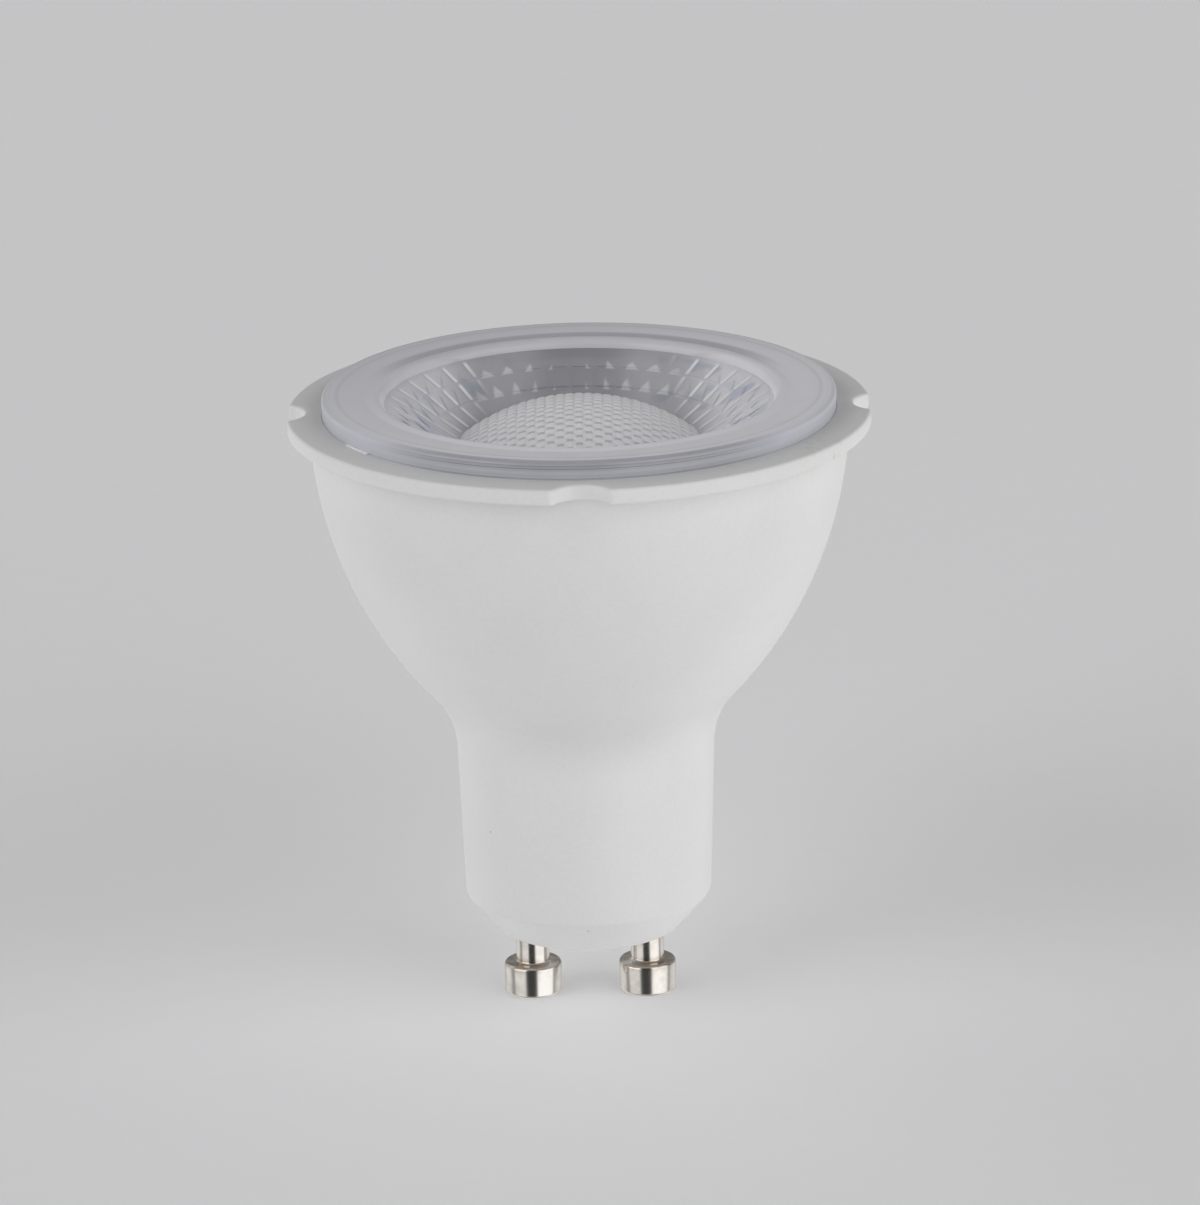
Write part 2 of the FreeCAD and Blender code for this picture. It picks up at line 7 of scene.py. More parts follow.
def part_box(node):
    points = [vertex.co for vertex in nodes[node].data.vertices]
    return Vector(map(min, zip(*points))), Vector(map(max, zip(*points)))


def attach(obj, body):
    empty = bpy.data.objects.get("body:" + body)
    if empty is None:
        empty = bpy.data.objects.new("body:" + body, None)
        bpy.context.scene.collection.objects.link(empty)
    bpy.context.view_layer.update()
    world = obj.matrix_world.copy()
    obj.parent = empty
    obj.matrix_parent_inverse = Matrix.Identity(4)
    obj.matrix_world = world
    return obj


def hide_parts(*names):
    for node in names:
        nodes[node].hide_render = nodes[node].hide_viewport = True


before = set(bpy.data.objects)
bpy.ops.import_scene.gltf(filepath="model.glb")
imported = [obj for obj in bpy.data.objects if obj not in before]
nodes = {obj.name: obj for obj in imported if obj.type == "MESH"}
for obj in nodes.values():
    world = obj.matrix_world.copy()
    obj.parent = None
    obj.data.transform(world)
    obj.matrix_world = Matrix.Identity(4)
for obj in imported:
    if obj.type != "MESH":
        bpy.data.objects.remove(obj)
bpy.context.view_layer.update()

mm = 0.001


# Housing: the one-piece shell of the lamp, a bowl on a straight neck with a notched flange round its mouth.
# It is injection moulded in white plastic, with a fine spark-eroded grain and soft edges.
# The lens stands on the ledge inside its mouth, and both pins are riveted through its base.
flange_radius = 25.0 * mm
flange_overhang = 1.9 * mm
flange_thickness = 1.4 * mm
notch_count = 4
notch_radius = 2.75 * mm
notch_depth = 1.55 * mm
mouth_wall = 1.08 * mm
ledge_depth = 1.6 * mm
bowl_arc_radius = 36.5 * mm
throat_fillet = 8.0 * mm
neck_foot_radius = 10.67 * mm
neck_draft = math.radians(2.0)
foot_round = 1.0 * mm
base_flat_radius = 7.9 * mm
base_chamfer_height = 3.2 * mm
base_floor = 2.4 * mm
shell_wall = 1.8 * mm
edge_round = 0.25 * mm
mouth_round = 0.06 * mm
under_round = 0.1 * mm
edge_angle = 35
pin_places = {"left": -5.0 * mm, "right": 5.0 * mm}
pin_hole_radius = 1.22 * mm
rib_thickness = 1.0 * mm
guide_rib_gap = 0.7 * mm
guide_rib_depth = 1.5 * mm
guide_rib_height = 14.0 * mm
cup_rib_count = 4
cup_rib_reach = 4.0 * mm
turned_steps = 160
notch_steps = 40
weld = 0.015 * mm
cut_margin = 1.0 * mm
pole_radius = 0.5 * mm

base_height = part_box("housing")[0].z
flange_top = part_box("housing")[1].z
flange_under = flange_top - flange_thickness
ledge_height = flange_top - ledge_depth
floor_height = base_height + base_floor
neck_foot = base_height + base_chamfer_height
bowl_mouth_radius = flange_radius - flange_overhang
mouth_radius = bowl_mouth_radius - mouth_wall
bowl_centre = Vector((bowl_mouth_radius - bowl_arc_radius, flange_top))
chamfer_slope = (neck_foot_radius - base_flat_radius) / base_chamfer_height


def arc(centre, radius, start, end, steps):
    """Points of an arc in the half section, from one angle to another, both ends included."""
    angles = [start + (end - start) * step / steps for step in range(steps + 1)]
    return [(centre[0] + radius * math.cos(angle), centre[1] + radius * math.sin(angle)) for angle in angles]


def rounded(before, corner, after, radius, steps):
    """Points of the arc that rounds a corner between two lines of the half section."""
    corner = Vector(corner)
    back = (Vector(before) - corner).normalized()
    ahead = (Vector(after) - corner).normalized()
    half = back.angle(ahead) / 2
    centre = corner + (back + ahead).normalized() * (radius / math.sin(half))
    first = corner + back * (radius / math.tan(half)) - centre
    last = corner + ahead * (radius / math.tan(half)) - centre
    start = math.atan2(first.y, first.x)
    turn = (math.atan2(last.y, last.x) - start + math.pi) % (2 * math.pi) - math.pi
    return arc(centre, radius, start, start + turn, steps)


def new_piece(name):
    """Name the primitive that was just added, and put its place in its mesh."""
    piece = bpy.context.object
    piece.name = name
    piece.data.name = name
    bpy.ops.object.transform_apply(location=True, rotation=True, scale=True)
    return piece


def only(piece):
    """Make a piece the one that is selected and active."""
    bpy.ops.object.select_all(action="DESELECT")
    piece.select_set(True)
    bpy.context.view_layer.objects.active = piece


def turned(name, outline, steps, x=0.0):
    """A closed turned piece: a disc whose face is drawn out ring by ring along the outline."""
    bpy.ops.object.select_all(action="DESELECT")
    radius, height = outline[0]
    bpy.ops.mesh.primitive_circle_add(vertices=steps, radius=radius, fill_type="NGON", location=(x, 0, height))
    piece = new_piece(name)
    bpy.ops.object.mode_set(mode="EDIT")
    for (radius, height), (next_radius, next_height) in zip(outline, outline[1:]):
        widening = next_radius / radius
        bpy.ops.mesh.extrude_region_move(TRANSFORM_OT_translate={"value": (0, 0, next_height - height)})
        bpy.ops.transform.resize(value=(widening, widening, 1), center_override=(x, 0, next_height))
    bpy.ops.mesh.select_all(action="SELECT")
    bpy.ops.mesh.normals_make_consistent(inside=False)
    bpy.ops.object.mode_set(mode="OBJECT")
    return piece


def bar(radius, low, high, x, y, steps=64):
    """A round tool for cutting, between two heights."""
    bpy.ops.object.select_all(action="DESELECT")
    bpy.ops.mesh.primitive_cylinder_add(vertices=steps, radius=radius, depth=high - low,
                                        location=(x, y, (low + high) / 2))
    return new_piece("tool")


def slab(low, high, angle=0.0):
    """A block tool between two corners, turned round the lamp's axis."""
    bpy.ops.object.select_all(action="DESELECT")
    bpy.ops.mesh.primitive_cube_add(size=1, location=[(a + b) / 2 for a, b in zip(low, high)])
    bpy.context.object.scale = [b - a for a, b in zip(low, high)]
    tool = new_piece("tool")
    bpy.ops.object.mode_set(mode="EDIT")
    bpy.ops.transform.rotate(value=-angle, orient_axis="Z", center_override=(0, 0, 0))
    bpy.ops.object.mode_set(mode="OBJECT")
    return tool


def finish_modifier(piece, kind, **settings):
    """Add a modifier to a piece and apply it."""
    only(piece)
    modifier = piece.modifiers.new(kind.lower(), kind)
    for setting, value in settings.items():
        setattr(modifier, setting, value)
    bpy.ops.object.modifier_apply(modifier=modifier.name)


def joined(pieces):
    only(pieces[0])
    for piece in pieces:
        piece.select_set(True)
    if len(pieces) > 1:
        bpy.ops.object.join()
    return bpy.context.object


def combine(piece, tools, operation):
    """Cut tools out of a piece, or join them to it, delete the tools and weld points that fell together."""
    tool = joined(tools)
    finish_modifier(piece, "BOOLEAN", object=tool, operation=operation, solver="EXACT")
    bpy.data.objects.remove(tool)
    bpy.ops.object.mode_set(mode="EDIT")
    bpy.ops.mesh.select_all(action="SELECT")
    bpy.ops.mesh.remove_doubles(threshold=weld)
    bpy.ops.mesh.dissolve_degenerate(threshold=weld)
    bpy.ops.object.mode_set(mode="OBJECT")


def smooth(piece, angle):
    only(piece)
    bpy.ops.object.shade_smooth_by_angle(angle=math.radians(angle), keep_sharp_edges=True)


def neck_radius(height, inset=0.0):
    return neck_foot_radius + (height - neck_foot) * math.tan(neck_draft) - inset / math.cos(neck_draft)


def chamfer_radius(height, inset=0.0):
    return base_flat_radius + (height - base_height) * chamfer_slope - inset * math.hypot(1, chamfer_slope)


def bowl_radius(height, inset=0.0):
    return bowl_centre.x + math.sqrt((bowl_arc_radius - inset) ** 2 - (height - bowl_centre.y) ** 2)


def throat_centre():
    """Centre of the fillet that touches the neck's line and the bowl's circle."""
    slope = math.tan(neck_draft)
    across = neck_radius(0.0) + throat_fillet / math.cos(neck_draft) - bowl_centre.x
    b = slope * across - bowl_centre.y
    c = across ** 2 + bowl_centre.y ** 2 - (bowl_arc_radius + throat_fillet) ** 2
    height = (-b - math.sqrt(b ** 2 - (1 + slope ** 2) * c)) / (1 + slope ** 2)
    return Vector((neck_radius(height) + throat_fillet / math.cos(neck_draft), height))


def shell_side(top, inset, throat_steps, bowl_steps):
    """The shell's side from the neck up, through the throat and the bowl, to a height."""
    centre = throat_centre()
    to_bowl = bowl_centre - centre
    throat_end = math.atan2(to_bowl.y, to_bowl.x)
    throat = arc(centre, throat_fillet + inset, math.pi - neck_draft, throat_end, throat_steps)
    bowl_start = math.atan2(-to_bowl.y, -to_bowl.x)
    bowl_end = math.asin((top - bowl_centre.y) / (bowl_arc_radius - inset))
    return throat + arc(bowl_centre, bowl_arc_radius - inset, bowl_start, bowl_end, bowl_steps)[1:]


def foot_height(inset):
    """Height where the neck's line meets the chamfer's line."""
    apart = neck_radius(base_height, inset) - chamfer_radius(base_height, inset)
    return base_height + apart / (chamfer_slope - math.tan(neck_draft))


def housing_outline():
    """The half section from the base up the outside, over the flange, and down the inside to the floor."""
    outside = shell_side(flange_under, 0.0, 14, 36)
    inside = shell_side(ledge_height, shell_wall, 10, 20)
    foot = rounded((base_flat_radius, base_height), (neck_foot_radius, neck_foot), outside[0], foot_round, 6)
    under = rounded(outside[-2], outside[-1], (flange_radius, flange_under), under_round, 4)
    mouth = rounded((flange_radius, flange_top), (mouth_radius, flange_top), (mouth_radius, ledge_height),
                    mouth_round, 4)
    inner_foot = foot_height(shell_wall)
    return ([(pole_radius, base_height), (base_flat_radius, base_height)] + foot + outside[:-1] + under
            + [(flange_radius, flange_under), (flange_radius, flange_top)] + mouth
            + [(mouth_radius, ledge_height)] + inside[::-1]
            + [(neck_radius(inner_foot, shell_wall), inner_foot),
               (chamfer_radius(floor_height, shell_wall), floor_height), (pole_radius, floor_height)])


def housing_ribs():
    """Guide ribs for the driver board and short ribs under the cup, trimmed to the middle of the wall."""
    cup_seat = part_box("heat_sink_cup")[0].z
    core_side = shell_side(cup_seat + shell_wall, shell_wall / 2, 10, 20)
    core = turned("tool", [(pole_radius, floor_height - base_floor / 2),
                           (chamfer_radius(floor_height, shell_wall / 2), floor_height - base_floor / 2)]
                  + core_side + [(pole_radius, core_side[-1][1])], 96)
    ribs = []
    guide_inner = neck_radius(foot_height(shell_wall), shell_wall) - guide_rib_depth
    for side in (0.5, 1.5):
        for gap in (guide_rib_gap, -guide_rib_gap - rib_thickness):
            ribs.append(slab((guide_inner, gap, base_height),
                             (neck_foot_radius, gap + rib_thickness, floor_height + guide_rib_height),
                             side * math.pi))
    rib_foot = shell_side(cup_seat, shell_wall, 10, 1)[-2][1]
    for index in range(cup_rib_count):
        ribs.append(slab((bowl_radius(cup_seat, shell_wall) - cup_rib_reach, -rib_thickness / 2, rib_foot),
                         (bowl_mouth_radius, rib_thickness / 2, cup_seat),
                         2 * math.pi * (index + 0.5) / cup_rib_count))
    ribs = joined(ribs)
    combine(ribs, [core], "INTERSECT")
    return ribs


housing = turned("lamp_housing", housing_outline(), turned_steps)
notches = []
for index in range(notch_count):
    angle = 2 * math.pi * index / notch_count
    reach = flange_radius - notch_depth + notch_radius
    notches.append(bar(notch_radius, flange_under - cut_margin, flange_top + cut_margin,
                       reach * math.cos(angle), reach * math.sin(angle), notch_steps))
combine(housing, notches, "DIFFERENCE")
finish_modifier(housing, "BEVEL", width=edge_round, segments=3, limit_method="ANGLE",
                angle_limit=math.radians(edge_angle), use_clamp_overlap=False)
pin_holes = [bar(pin_hole_radius, base_height - cut_margin, floor_height + cut_margin, x, 0.0)
             for x in pin_places.values()]
combine(housing, pin_holes, "DIFFERENCE")
combine(housing, [housing_ribs()], "UNION")
smooth(housing, edge_angle)


class Shade:
    """A value in a material's nodes: arithmetic on it adds Math nodes, and node() adds any other node."""

    def __init__(self, tree, socket=None):
        self.tree = tree
        self.socket = socket

    def node(self, kind, settings=None, inputs=None, output=0):
        made = self.tree.nodes.new("ShaderNode" + kind)
        for name, value in (settings or {}).items():
            setattr(made, name, value)
        for name, value in (inputs or {}).items():
            if isinstance(value, Shade):
                self.tree.links.new(value.socket, made.inputs[name])
            else:
                made.inputs[name].default_value = value
        return Shade(self.tree, made.outputs[output])

    def math(self, operation, *others):
        """A Math node on this value and any others."""
        return self.node("Math", {"operation": operation}, dict(enumerate((self,) + others)))

    def __add__(self, other):
        return self.math("ADD", other)

    __radd__ = __add__

    def __mul__(self, other):
        return self.math("MULTIPLY", other)

    __rmul__ = __mul__

    def __sub__(self, other):
        return self.math("SUBTRACT", other)

    def __rsub__(self, other):
        return self.node("Math", {"operation": "SUBTRACT"}, {0: other, 1: self})

    def __truediv__(self, other):
        return self.math("DIVIDE", other)

    def __abs__(self):
        return self.math("ABSOLUTE")

    def between(self, low, high):
        """0 below low, 1 above high and smooth in between; low may be the larger one."""
        settings = {"interpolation_type": "SMOOTHSTEP", "clamp": True}
        return self.node("MapRange", settings, {0: self, 1: low, 2: high, 3: 0.0, 4: 1.0})

    def mix(self, first, second):
        """A colour between two, by this value."""
        return self.node("Mix", {"data_type": "RGBA"}, {0: self, 6: first, 7: second}, output=2)

    def noise(self, size, detail=2.0):
        """Noise with patches of a size."""
        return self.node("TexNoise", None, {"Vector": self, "Scale": 1 / size, "Detail": detail})

    def axis(self, name):
        return self.node("SeparateXYZ", None, {0: self}, output=name)

    def stretched(self, *shares):
        """The place with each axis taken as a share, to draw a pattern out along an axis."""
        return self.node("VectorMath", {"operation": "MULTIPLY"}, {0: self, 1: shares})

    def distance(self, point):
        return self.node("VectorMath", {"operation": "DISTANCE"}, {0: self, 1: point}, output="Value")

    def from_axis(self):
        """Distance from the lamp's axis."""
        return self.stretched(1, 1, 0).distance((0, 0, 0))

    def bearing(self):
        """Angle round the lamp's axis, in radians."""
        return self.axis("Y").math("ARCTAN2", self.axis("X"))

    def bump(self, strength, depth):
        return self.node("Bump", None, {"Strength": strength, "Distance": depth, "Height": self})


class Finish:
    """A material; place is the surface's own coordinates, in metres."""

    def __init__(self, name, constants):
        self.material = bpy.data.materials.new(name)
        self.material.use_nodes = True
        self.tree = self.material.node_tree
        self.shader = self.tree.nodes["Principled BSDF"]
        self.place = Shade(self.tree).node("TexCoord", output="Object")
        self.set(constants)

    def set(self, constants):
        for socket, value in constants.items():
            self.shader.inputs[socket].default_value = value

    def feed(self, **values):
        """Link values to sockets, named with _ for a space."""
        for socket, value in values.items():
            self.tree.links.new(value.socket, self.shader.inputs[socket.replace("_", " ")])

    def cover(self, share, constants):
        """Lay a second shader over the surface so far, as far as a share from 0 to 1 says."""
        surface = self.tree.nodes["Material Output"].inputs["Surface"]
        below = surface.links[0].from_socket
        self.shader = self.tree.nodes.new("ShaderNodeBsdfPrincipled")
        self.set(constants)
        mixed = share.node("MixShader", None, {0: share, 1: Shade(self.tree, below),
                                               2: Shade(self.tree, self.shader.outputs[0])})
        self.tree.links.new(mixed.socket, surface)

    def put_on(self, *pieces):
        for piece in pieces:
            piece.data.materials.clear()
            piece.data.materials.append(self.material)


white = (0.790, 0.790, 0.787, 1)
white_shade = (0.760, 0.760, 0.757, 1)
speck_colour = (0.30, 0.28, 0.26, 1)
rub_colour = (0.62, 0.47, 0.38, 1)
rub_place = (20.9 * mm, -13.7 * mm, 52.6 * mm)
mottle_size = 6 * mm
fleck_size = 0.35 * mm
grain_size = 0.22 * mm
grain_depth = 0.02 * mm
speck_spacing = 4 * mm

plastic = Finish("white_plastic", {"Specular IOR Level": 0.45})
mottle = plastic.place.noise(mottle_size, 3.0)
fleck = plastic.place.noise(fleck_size, 2.0)
grain = plastic.place.noise(grain_size, 1.0)
colour = (mottle.between(0.35, 0.7) * 0.4 + fleck.between(0.3, 0.7) * 0.6).mix(white, white_shade)
cell_inputs = {"Vector": plastic.place, "Scale": 1 / speck_spacing}
cells = plastic.place.node("TexVoronoi", None, cell_inputs)
cell_choice = plastic.place.node("TexVoronoi", None, cell_inputs, output="Color").axis("X")
speck = cells.between(0.035, 0.015) * cell_choice.between(0.86, 0.88)
colour = (speck * 0.8).mix(colour, speck_colour)
rub = plastic.place.distance(rub_place).between(4.5 * mm, 0.5 * mm)
rub = rub * plastic.place.noise(0.9 * mm, 3.0).between(0.5, 0.75)
colour = (rub * 0.5).mix(colour, rub_colour)
plastic.feed(Base_Color=colour, Roughness=0.46 + (mottle - 0.5) * 0.12, Normal=grain.bump(0.10, grain_depth))
plastic.put_on(housing)
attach(housing, "root")
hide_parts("housing")


# Contact pins: the two studs of the twist-lock cap, each with a thick head, a narrower neck and a rivet collar.
# They are turned from brass rod and nickel plated, so that fine turning marks run round them.
# The collar is set on the housing's floor and holds the pin against the base.
pin_head_radius = 2.5 * mm
pin_head_height = 2.87 * mm
pin_edge_round = 0.35 * mm
pin_neck_radius = 1.45 * mm
pin_shank_radius = 1.2 * mm
pin_rivet_radius = 1.7 * mm
pin_rivet_height = 1.5 * mm
pin_socket_radius = 0.6 * mm
pin_socket_depth = 1.2 * mm
pin_root_round = 0.2 * mm
pin_steps = 96
nickel_bright = (0.72, 0.69, 0.65, 1)
nickel_dull = (0.60, 0.56, 0.51, 1)
stain_and_shade_brown = (0.40, 0.32, 0.25, 1)
turning_pitch = 0.06 * mm
tarnish_size = 1.4 * mm


def pin_outline():
    """The half section from under the head, up the neck and the shank, round the collar and into its socket."""
    collar_top = floor_height + pin_rivet_height
    head_low = rounded((0, 0), (pin_head_radius, 0), (pin_head_radius, pin_head_height), pin_edge_round, 6)
    head_high = rounded((pin_head_radius, 0), (pin_head_radius, pin_head_height), (0, pin_head_height),
                        pin_edge_round, 6)
    root = rounded((pin_head_radius, pin_head_height), (pin_neck_radius, pin_head_height),
                   (pin_neck_radius, base_height), pin_root_round, 4)
    return ([(pole_radius, 0.0)] + head_low + head_high + root
            + [(pin_neck_radius, base_height), (pin_shank_radius, base_height),
               (pin_shank_radius, floor_height), (pin_rivet_radius, floor_height),
               (pin_rivet_radius, floor_height + pin_rivet_height / 2),
               (pin_shank_radius, collar_top), (pin_socket_radius, collar_top),
               (pin_socket_radius, collar_top - pin_socket_depth),
               (pole_radius, collar_top - pin_socket_depth)])


nickel = Finish("nickel_plate", {"Metallic": 1.0, "Anisotropic": 0.4})
turning = nickel.place.stretched(0, 0, 1).noise(turning_pitch, 3.0)
tarnish = nickel.place.noise(tarnish_size, 4.0)
tint = tarnish.between(0.35, 0.75).mix(nickel_bright, nickel_dull)
# Brown tarnish with painted shade round the head's top and the root of the neck, under the base
root_stain_and_shade = abs(nickel.place.axis("Z") - pin_head_height).between(0.7 * mm, 0.1 * mm) * tarnish.between(0.3, 0.6)
tint = (root_stain_and_shade * 0.7).mix(tint, stain_and_shade_brown)
nickel.feed(Base_Color=tint, Roughness=0.12 + tarnish * 0.12, Normal=turning.bump(0.06, 0.01 * mm))
for side, x in pin_places.items():
    pin = turned("pin_" + side, pin_outline(), pin_steps, x)
    smooth(pin, edge_angle)
    nickel.put_on(pin)
    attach(pin, "root")
    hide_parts("contact_pin_" + side)


# Driver: an upright board of glass-fibre laminate in the neck, with the parts that feed the lights soldered on.
# Its edges run in the housing's guide ribs, and short leads join it to the pins below and to the lights above.
tin = (0.74, 0.73, 0.71, 1)
board_green = ((0.030, 0.150, 0.062, 1), (0.042, 0.190, 0.080, 1))
track_green = (0.075, 0.30, 0.11, 1)
track_length = 6.5 * mm
track_width = 2.4 * mm
track_gap = 0.35 * mm
weave_pitch = 0.5 * mm
sleeve_dark = ((0.035, 0.037, 0.050, 1), (0.050, 0.052, 0.066, 1))
sleeve_stripe = (0.50, 0.51, 0.53, 1)
stripe_halves = {"input_capacitor": 0.9 * mm, "output_capacitor": 0.75 * mm}
can_foot_rise = 1.5 * mm
enamel_teal = ((0.10, 0.21, 0.20, 1), (0.13, 0.25, 0.24, 1))
enamel_bands = ((-1.9 * mm, (0.30, 0.15, 0.05, 1)), (-0.9 * mm, (0.03, 0.03, 0.03, 1)),
                (0.1 * mm, (0.02, 0.02, 0.02, 1)), (1.7 * mm, (0.55, 0.40, 0.10, 1)))
enamel_half = 3.2 * mm
moulding_black = ((0.022, 0.022, 0.023, 1), (0.034, 0.034, 0.035, 1))
moulding_halves = {"bridge_rectifier": 1.95 * mm, "driver_chip": 1.95 * mm, "chip_resistor_1": 1.25 * mm,
                   "chip_resistor_2": 1.25 * mm, "chip_resistor_3": 1.25 * mm}
ferrite_grey = ((0.040, 0.040, 0.043, 1), (0.060, 0.060, 0.064, 1))
copper_red = ((0.55, 0.22, 0.08, 1), (0.64, 0.29, 0.12, 1))
winding_pitch = 0.28 * mm
lead_white = ((0.66, 0.65, 0.62, 1), (0.72, 0.71, 0.68, 1))
lead_red = ((0.42, 0.020, 0.016, 1), (0.52, 0.030, 0.022, 1))
lead_colours = {"input_wire_left": lead_white, "input_wire_right": lead_white,
                "output_wire_negative": lead_white, "output_wire_positive": lead_red}


def varied(name, colours, patch, roughness, metal=0.0):
    """A finish whose colour and roughness change a little from patch to patch; it keeps its colour."""
    finish = Finish(name, {"Metallic": metal})
    change = finish.place.noise(patch, 3.0)
    finish.colour = change.between(0.3, 0.7).mix(*colours)
    finish.feed(Base_Color=finish.colour, Roughness=roughness + (change - 0.5) * 0.2,
                Normal=finish.place.noise(patch / 8).bump(0.12, 0.02 * mm))
    return finish


def tinned(finish, mask):
    """Turn the masked places of a finish to bright tin, as on leads and end caps."""
    finish.feed(Base_Color=mask.mix(finish.colour, tin), Metallic=mask, Roughness=0.5 - mask * 0.22)


laminate = varied("green_board", board_green, 5 * mm, 0.42)
weave = [(laminate.place.axis(name) * (math.tau / weave_pitch)).math("SINE") for name in "YZ"]
tracks = laminate.place.node("TexBrick", {"offset": 0.5}, {
    "Vector": laminate.place.stretched(0, 1, 1), "Scale": 1.0, "Mortar Size": track_gap,
    "Brick Width": track_length, "Row Height": track_width}, output="Fac")
laminate.feed(Base_Color=(tracks * 0.7).mix(laminate.colour, track_green),
              Normal=(weave[0] * weave[1] * 0.2 + tracks).bump(0.3, 0.03 * mm))
laminate.put_on(nodes["driver_board"])

for name, half in stripe_halves.items():
    low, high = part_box(name)
    middle = (low + high) / 2
    sleeve = varied(name + "_sleeve", sleeve_dark, 3 * mm, 0.32)
    stripe = abs(sleeve.place.axis("Y") - middle.y).between(half, half * 0.9)
    stripe = stripe * sleeve.place.axis("X").between(middle.x, middle.x + 0.1 * mm)
    sleeve.colour = stripe.mix(sleeve.colour, sleeve_stripe)
    sleeve_foot = low.z + can_foot_rise
    tinned(sleeve, sleeve.place.axis("Z").between(sleeve_foot, sleeve_foot - 0.05 * mm))
    sleeve.put_on(nodes[name])

enamel = varied("resistor_enamel", enamel_teal, 2 * mm, 0.3)
along = enamel.place.axis("Y")
for centre, band_colour in enamel_bands:
    enamel.colour = abs(along - centre).between(0.33 * mm, 0.28 * mm).mix(enamel.colour, band_colour)
tinned(enamel, abs(along).between(enamel_half, enamel_half + 0.05 * mm))
enamel.put_on(nodes["fuse_resistor"])

for name, half in moulding_halves.items():
    low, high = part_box(name)
    moulding = varied(name + "_moulding", moulding_black, 0.6 * mm, 0.55)
    offset = abs(moulding.place.axis("Y") - (low.y + high.y) / 2)
    tinned(moulding, offset.between(half, half + 0.04 * mm))
    moulding.put_on(nodes[name])

varied("ferrite", ferrite_grey, 0.5 * mm, 0.6).put_on(nodes["choke_core"])
copper = varied("copper_winding", copper_red, 1.5 * mm, 0.28, 1.0)
turns = copper.place.axis("X") * (math.tau / winding_pitch) + copper.place.noise(1.5 * mm) * 3.0
copper.feed(Normal=turns.math("SINE").bump(0.6, 0.05 * mm))
copper.put_on(nodes["choke_winding"])
for name, colours in lead_colours.items():
    varied(name + "_insulation", colours, 1.2 * mm, 0.4).put_on(nodes[name])


# Lights: a drawn aluminium cup that carries the heat to the housing's wall, with a round white board screwed
# to it. Six moulded packages with yellow phosphor windows are soldered in a ring on the board, under the lens.
aluminium = ((0.83, 0.83, 0.84, 1), (0.88, 0.88, 0.88, 1))
drawing_pitch = 0.15 * mm
mask_white = ((0.80, 0.80, 0.79, 1), (0.84, 0.84, 0.83, 1))
mask_bright = (0.87, 0.87, 0.85, 1)
copper_ring_radius = 5.0 * mm
package_white = ((0.80, 0.80, 0.77, 1), (0.85, 0.85, 0.82, 1))
phosphor_yellow = (0.82, 0.62, 0.10, 1)
led_count = 6
window_half_depth = 1.0 * mm
window_half_width = 1.35 * mm
zinc_grey = ((0.52, 0.52, 0.53, 1), (0.62, 0.62, 0.62, 1))

cup_metal = varied("drawn_aluminium", aluminium, 4 * mm, 0.34, 1.0)
rings = (cup_metal.place.from_axis() + cup_metal.place.axis("Z")) / drawing_pitch
drawing = rings.node("TexNoise", {"noise_dimensions": "1D"}, {"W": rings, "Scale": 1.0, "Detail": 2.0})
cup_metal.feed(Normal=drawing.bump(0.15, 0.02 * mm))
cup_metal.put_on(nodes["heat_sink_cup"])

solder_mask = varied("white_solder_mask", mask_white, 3 * mm, 0.4)
ring = abs(solder_mask.place.from_axis() - copper_ring_radius).between(2.4 * mm, 2.2 * mm)
solder_mask.feed(Base_Color=(ring * 0.5).mix(solder_mask.colour, mask_bright), Normal=ring.bump(0.4, 0.04 * mm))
solder_mask.put_on(nodes["led_board"])

led_low, led_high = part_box("led_2")
led_ring_radius = (led_low.y + led_high.y) / 2
package = varied("led_package", package_white, 1 * mm, 0.45)
sector = math.tau / led_count
turn = ((package.place.bearing() / sector + 10.0).math("FRACT") - 0.5) * sector
reach = package.place.from_axis()
radial = abs(reach * turn.math("COSINE") - led_ring_radius)
around = abs(reach * turn.math("SINE"))
window = radial.between(window_half_depth, window_half_depth * 0.9)
window = window * around.between(window_half_width, window_half_width * 0.93)
package.feed(Base_Color=window.mix(package.colour, phosphor_yellow))
package.put_on(*[nodes["led_%d" % (index + 1)] for index in range(led_count)])
varied("screw_steel", zinc_grey, 0.8 * mm, 0.32, 1.0).put_on(nodes["board_screw_1"], nodes["board_screw_2"])


# Lens: one moulding of clear acrylic, a milky flat ring round a faceted funnel and a dome of small beads.
# Its rim stands on the housing's ledge, and a cone under the funnel gathers the light of the packages.
# The facets lie in three tiers, with a pyramid stud at the foot of each facet of the upper two.
lens_radius = 22.0 * mm
lens_rim_wall = 1.3 * mm
lens_edge_round = 0.45 * mm
lens_plate = 1.3 * mm
lens_dish = 0.13 * mm
lens_annulus = 4.55 * mm
lip_round = 0.8 * mm
groove_width = 0.7 * mm
groove_depth = 0.12 * mm
funnel_ledge = 0.1 * mm
funnel_depth = 3.67 * mm
run_shares = (0.0, 0.33, 0.64, 1.0)
drop_shares = (0.0, 0.305, 0.654, 1.0)
tier_steps = 4
facet_count = 42
facet_angle = math.radians(-1.2)
steps_round = 4
stud_height_shares = (0.33, 0.52)
stud_width_share = 0.64
stud_rise = 0.16 * mm
stud_root = 1.3
gate_angle = math.radians(-147.5)
gate_low = (21.8 * mm, -1.6 * mm, 53.02 * mm)
gate_high = (22.28 * mm, 1.6 * mm, 53.16 * mm)
dome_radius = 10.3 * mm
dome_margin = 0.3 * mm
dome_height = 3.45 * mm
bead_pitch = 0.94 * mm
bead_height = 0.20 * mm
bead_rings = ((0.80, 0.42), (0.56, 0.78), (0.30, 0.95))
cone_top_inset = 0.2 * mm
cone_foot_radius = 8.2 * mm
pocket_radius = 6.8 * mm
pocket_height = 3.4 * mm
pocket_crown = 1.2 * mm
dome_steps = 180
dome_skirt = 1.0 * mm
dome_root = 0.4 * mm
moulded_round = 0.15 * mm
